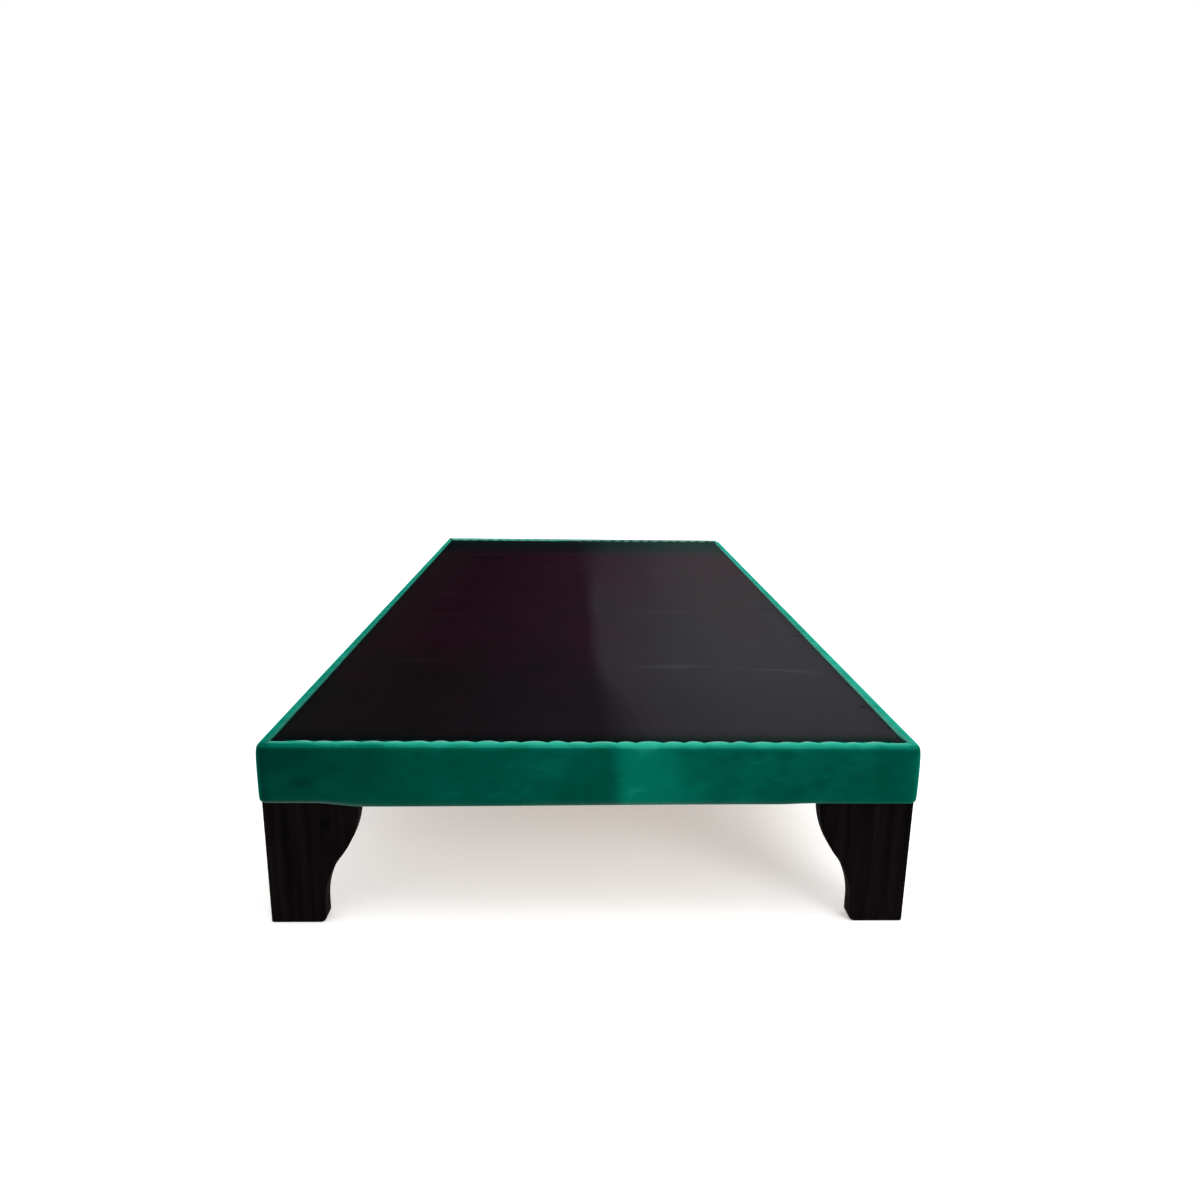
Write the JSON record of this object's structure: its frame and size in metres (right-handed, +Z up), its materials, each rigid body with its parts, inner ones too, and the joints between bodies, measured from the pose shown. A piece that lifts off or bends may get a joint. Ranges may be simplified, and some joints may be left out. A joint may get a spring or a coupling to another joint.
{
  "type": "upholstered single bed base",
  "caption": "Low single bed base: pine frame and slats, rails wrapped in green velvet, stapled black cloth deck, bracket-shaped dark wood feet.",
  "frame": {"origin": "on the floor, under the centre of the bed base", "axes": "+X across the width, to the right when facing the foot end from outside it; -Y towards whoever faces the foot end; +Z up"},
  "size_m": [1, 1.9, 0.2974],
  "materials": {
    "raw_pine": "planed, unfinished",
    "stained_pine": "espresso stain, satin",
    "green_velvet": "short pile, directional sheen",
    "black_cloth": "spun-bonded, faint satin",
    "foam": "open cell foam",
    "zinc": "bright zinc"
  },
  "bodies": {
    "root": {"beam_screws": "zinc", "block_screws": "zinc", "centre_beam": "raw_pine", "centre_leg": "stained_pine", "centre_leg_dowel_screw": "zinc", "cleat_screws": "zinc", "corner_block_front_left": "raw_pine", "corner_block_front_right": "raw_pine", "corner_block_rear_left": "raw_pine", "corner_block_rear_right": "raw_pine", "deck_cloth": "black_cloth", "foam_front": "foam", "foam_left": "foam", "foam_rear": "foam", "foam_right": "foam", "front_rail": "raw_pine", "ledger_screws": "zinc", "left_side_rail": "raw_pine", "left_slat_ledger": "raw_pine", "leg_bolt_washers": "zinc", "leg_bolts": "zinc", "leg_cleat_front_left": "stained_pine", "leg_cleat_front_right": "stained_pine", "leg_cleat_rear_left": "stained_pine", "leg_cleat_rear_right": "stained_pine", "leg_front_left": "stained_pine", "leg_front_right": "stained_pine", "leg_rear_left": "stained_pine", "leg_rear_right": "stained_pine", "rail_screws": "zinc", "rear_rail": "raw_pine", "right_side_rail": "raw_pine", "right_slat_ledger": "raw_pine", "slat_01": "raw_pine", "slat_02": "raw_pine", "slat_03": "raw_pine", "slat_04": "raw_pine", "slat_05": "raw_pine", "slat_06": "raw_pine", "slat_07": "raw_pine", "slat_08": "raw_pine", "slat_09": "raw_pine", "slat_10": "raw_pine", "slat_screws": "zinc", "threaded_inserts": "zinc", "top_staples": "zinc", "underside_staples": "zinc", "velvet_front": "green_velvet", "velvet_left": "green_velvet", "velvet_rear": "green_velvet", "velvet_right": "green_velvet"}
  },
  "joints": []
}
